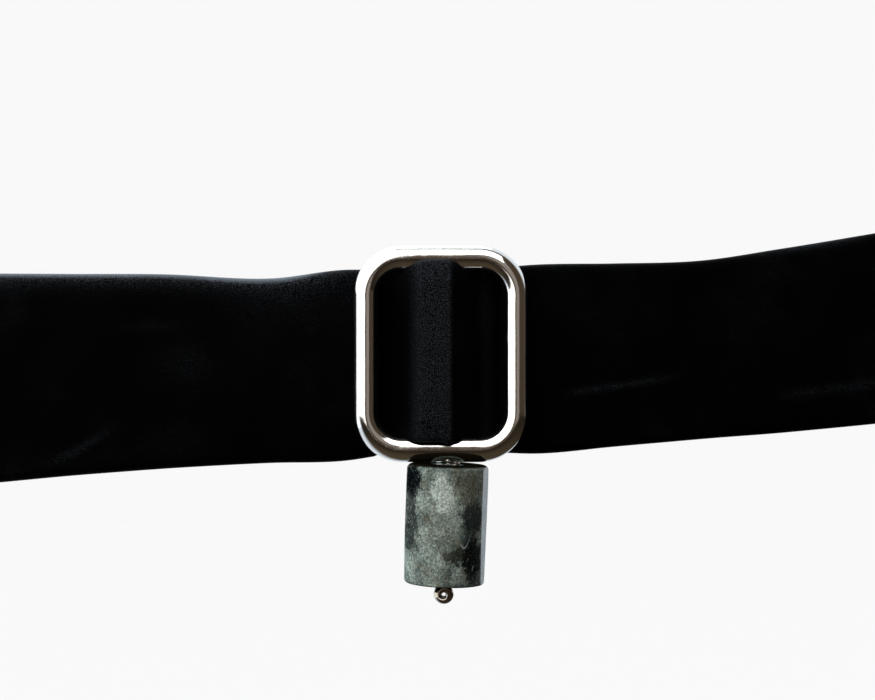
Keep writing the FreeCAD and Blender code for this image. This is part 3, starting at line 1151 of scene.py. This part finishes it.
@dataclass
class SlideFrame:
    """The polished ring, swept as round wire round a rounded rectangle. Sizes in millimetres."""

    width: float = 28.0
    height: float = 34.6
    wire: float = 4.0
    corner: float = 6.0
    middle: Triple = (0.0, -29.8, 1.3)
    along: int = 24
    around: int = 72

    def build(self, palette: Palette) -> bpy.types.Object:
        """Build the ring.

        Args:
            palette: the object's finishes.

        Returns:
            The ring, riding on the band.
        """
        half_w, half_h = (self.width - self.wire) / 2, (self.height - self.wire) / 2
        path, outward = [], []
        for cx, cz, start in ((1, 1, 0), (-1, 1, 90), (-1, -1, 180), (1, -1, 270)):
            centre = np.array([cx * (half_w - self.corner), cz * (half_h - self.corner)])
            for angle in np.radians(np.linspace(start, start + 90, self.along)):
                way = np.array([math.cos(angle), math.sin(angle)])
                path.append(centre + way * self.corner)
                outward.append(way)
        verts = []
        for (x, z), (ox, oz) in zip(path, outward):
            for turn in np.linspace(0, TAU, self.around, endpoint=False):
                out, back = math.cos(turn) * self.wire / 2, math.sin(turn) * self.wire / 2
                verts.append((x + ox * out, back, z + oz * out))
        obj = add_mesh("polished_ring", np.array(verts) + self.middle,
                       grid_faces(len(path), self.around, True, True))
        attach(obj, "band")
        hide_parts("slide_frame")
        obj.data.materials.append(palette.silver)
        return obj


@dataclass
class StoneDrop:
    """The ground stone barrel, drilled through and recessed at the top. Sizes in millimetres."""

    radius: float = 6.7
    top: float = -16.3
    length: float = 19.0
    bevel: float = 0.9
    foot_bevel: float = 0.45
    bore: float = 0.75
    mouth: float = 2.45
    mouth_depth: float = 3.1
    link: Triple = (1.1, -29.8, -17.7)
    lean: float = 1.9
    taper: float = 0.012
    flats: tuple[tuple[float, float], ...] = ((-14.0, 6.28), (75.0, 6.5), (165.0, 6.45), (-110.0, 6.6))
    around: int = 180

    def profile(self) -> np.ndarray:
        """Draw the stone's outline.

        Returns:
            Rows of radius and height, from the recess round the outside to the bore's lower end.
        """
        foot = self.top - self.length
        rows = [(self.bore, self.top - self.mouth_depth), (self.mouth, self.top - self.mouth_depth),
                (self.mouth, self.top - 0.35), (self.mouth + 0.35, self.top)]
        belly, end = self.radius, self.radius - 0.08
        for sign, level, bevel in ((1, self.top, self.bevel), (-1, foot, self.foot_bevel)):
            arc = []
            for angle in np.linspace(0, math.pi / 2, 9):
                arc.append((end - bevel + bevel * math.sin(angle),
                            level - sign * bevel * (1 - math.cos(angle))))
            if sign < 0:
                arc.reverse()
            rows += arc
            if sign > 0:
                for z in np.linspace(self.top - self.bevel, foot + self.foot_bevel, 60)[1:-1]:
                    part = (z - foot - self.foot_bevel) / (self.length - self.bevel - self.foot_bevel)
                    rows.append((end + (belly - end) * math.sin(math.pi * part) ** 0.8, z))
        rows.append((self.bore, foot))
        return np.array(rows)

    def build(self, palette: Palette) -> bpy.types.Object:
        """Build the stone.

        Args:
            palette: the object's finishes.

        Returns:
            The stone, leaned to the way that it hangs.
        """
        rows = self.profile()
        angle = np.linspace(0, TAU, self.around, endpoint=False)[None, :]
        radius, z = rows[:, :1], rows[:, 1:]
        outside = smooth((radius - 3.5) / 2.0)
        uneven = 0.03 * np.sin(2 * angle + 0.10 * z) + 0.025 * np.sin(5 * angle + 0.31 * z + 1)
        radius = radius + (uneven - 0.03 - self.taper * (self.top - z)) * outside
        for way, reach in self.flats:
            facing = np.cos(angle - math.radians(way))
            radius = np.where(facing > 0.5, np.minimum(radius, reach / np.maximum(facing, 0.5)), radius)
        x, y = radius * np.cos(angle), radius * np.sin(angle)
        z = np.broadcast_to(z, x.shape)
        verts = np.stack([x + self.link[0], y + self.link[1], z], 2).reshape(-1, 3)
        turn = math.radians(self.lean)
        centre = np.array(self.link)
        rel = verts - centre
        leaned = np.stack([rel[:, 0] * math.cos(turn) + rel[:, 2] * math.sin(turn), rel[:, 1],
                           -rel[:, 0] * math.sin(turn) + rel[:, 2] * math.cos(turn)], 1) + centre
        faces = grid_faces(len(rows), self.around, True, True)
        obj = add_mesh("ground_stone", leaned, faces)
        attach(obj, "stone")
        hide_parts("stone_drop")
        obj.data.materials.append(palette.stone)
        return obj


# ---- studio -----------------------------------------------------------------------------------------


@dataclass
class Studio:
    """Pale floor, soft lights, surroundings and the camera. Lengths in metres."""

    floor_z: float = -0.35
    floor_size: float = 6.0
    lens: float = 67.0
    distance: float = 0.2606
    aim: Triple = (-0.00052, -0.0298, 0.00194)
    subject: Triple = (0.0, -0.03, 0.0)
    reach: float = 0.45

    def floor(self) -> None:
        """Lay the floor."""
        half = self.floor_size / 2
        mesh = bpy.data.meshes.new("floor")
        corners = [(-half, -half, self.floor_z), (half, -half, self.floor_z), (half, half, self.floor_z),
                   (-half, half, self.floor_z)]
        mesh.from_pydata(corners, [], [(0, 1, 2, 3)])
        obj = bpy.data.objects.new("floor", mesh)
        bpy.context.scene.collection.objects.link(obj)
        material = bpy.data.materials.new("pale_floor")
        n = Nodes(material)
        seen = n.node("LightPath").outputs["Is Camera Ray"]
        split = n.node("SeparateXYZ", Vector=n.place())
        back = n.maths("SUBTRACT", split.outputs["Y"], n.maths("MULTIPLY", split.outputs["X"], 0.8))
        lit = n.ramp(back, 0.05, 0.35, 0.0, 0.85)
        n.set(Base_Color=n.mix(seen, (0.050, 0.036, 0.022), (0.085, 0.085, 0.085)), Roughness=0.9,
              Specular_IOR_Level=0.0,
              Emission_Color=n.mix(seen, (0.80, 0.90, 1.0), (0.917, 0.917, 0.917)),
              Emission_Strength=n.maths("MAXIMUM", seen, lit))
        mesh.materials.append(material)

    def world(self) -> None:
        """Light the backdrop white and leave the room behind the camera dark and warm."""
        world = bpy.data.worlds.new("studio")
        world.use_nodes = True
        bpy.context.scene.world = world
        tree = world.node_tree
        tree.nodes.clear()
        new = tree.nodes.new
        where, split = new("ShaderNodeTexCoord"), new("ShaderNodeSeparateXYZ")
        tree.links.new(where.outputs["Generated"], split.inputs[0])
        edge = new("ShaderNodeMapRange")
        edge.interpolation_type = "SMOOTHSTEP"
        edge.inputs["From Min"].default_value = -0.05
        edge.inputs["From Max"].default_value = 0.35
        tree.links.new(split.outputs["Y"], edge.inputs["Value"])
        room = new("ShaderNodeMix")
        room.data_type = "RGBA"
        room.inputs[6].default_value = (0.060, 0.042, 0.028, 1)
        room.inputs[7].default_value = (0.80, 0.86, 0.92, 1)
        tree.links.new(edge.outputs["Result"], room.inputs["Factor"])
        seen, path = new("ShaderNodeMix"), new("ShaderNodeLightPath")
        seen.data_type = "RGBA"
        seen.inputs[7].default_value = (0.945, 0.945, 0.945, 1)
        tree.links.new(path.outputs["Is Camera Ray"], seen.inputs["Factor"])
        tree.links.new(room.outputs[2], seen.inputs[6])
        shade, output = new("ShaderNodeBackground"), new("ShaderNodeOutputWorld")
        tree.links.new(seen.outputs[2], shade.inputs["Color"])
        tree.links.new(shade.outputs[0], output.inputs["Surface"])

    def lamp(self, name: str, turn: float, rise: float, size: tuple[float, float], power: float,
             colour: Colour = (1.0, 1.0, 1.0)) -> None:
        """Add a soft rectangular lamp that faces the ring.

        Args:
            name: the lamp's name.
            turn: its bearing from the camera's side in degrees, positive to the right.
            rise: its height above level in degrees.
            size: its width and height.
            power: its output in watts.
            colour: the colour of its light.
        """
        bearing, height = math.radians(turn), math.radians(rise)
        level = math.cos(height)
        out = Vector((math.sin(bearing) * level, -math.cos(bearing) * level, math.sin(height)))
        data = bpy.data.lights.new(name, "AREA")
        data.shape, data.size, data.size_y = "RECTANGLE", *size
        data.energy, data.color = power, colour
        obj = bpy.data.objects.new(name, data)
        obj.location = Vector(self.subject) + out * self.reach
        obj.rotation_euler = (-out).to_track_quat("-Z", "Y").to_euler()
        bpy.context.scene.collection.objects.link(obj)

    def lights(self) -> None:
        """Set the lamps."""
        self.lamp("key_left", -38.5, 20, (0.60, 0.46), 1.25, (1.0, 0.975, 0.95))
        self.lamp("key_right", 18, 20, (0.215, 0.46), 0.06, (1.0, 0.95, 0.88))
        self.lamp("overhead", -12, 60, (0.62, 0.42), 1.8)
        self.lamp("left_panel", -95, 18, (0.46, 0.74), 1.3, (0.93, 0.97, 1.0))
        self.lamp("rear_top", -150, 50, (0.50, 0.40), 2.6, (0.85, 0.94, 1.0))

    def camera(self) -> None:
        """Stand the camera level with the frame, straight in front of it."""
        data = bpy.data.cameras.new("camera")
        data.lens, data.sensor_width = self.lens, 36.0
        data.clip_start, data.clip_end = 0.01, 20.0
        obj = bpy.data.objects.new("camera", data)
        obj.location = Vector(self.aim) - Vector((0, self.distance, 0))
        obj.rotation_euler = (math.pi / 2, 0, 0)
        bpy.context.scene.collection.objects.link(obj)
        bpy.context.scene.camera = obj

    def build(self) -> None:
        """Set up the whole studio."""
        self.floor()
        self.world()
        self.lights()
        self.camera()
        bpy.context.scene.view_settings.view_transform = "Standard"


def main() -> None:
    """Build the scene in order and report each piece."""
    logging.basicConfig(level=logging.INFO, format="%(name)s: %(message)s")
    palette, neck = Palette(), Neckline()
    palette.dress_cad()
    band = FrontBand(neck)
    pieces: list[tuple[Callable[..., bpy.types.Object], tuple[object, ...]]] = [
        *((band.build, (layer, palette)) for layer in Layer),
        *((Strap(kind, neck).build, (palette,)) for kind in StrapKind),
        (SlideFrame().build, (palette,)),
        (StoneDrop().build, (palette,)),
    ]
    for build, given in pieces:
        obj = build(*given)
        LOG.info("%s: %d faces", obj.name, len(obj.data.polygons))
    Studio().build()
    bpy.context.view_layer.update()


if __name__ == "__main__":
    main()
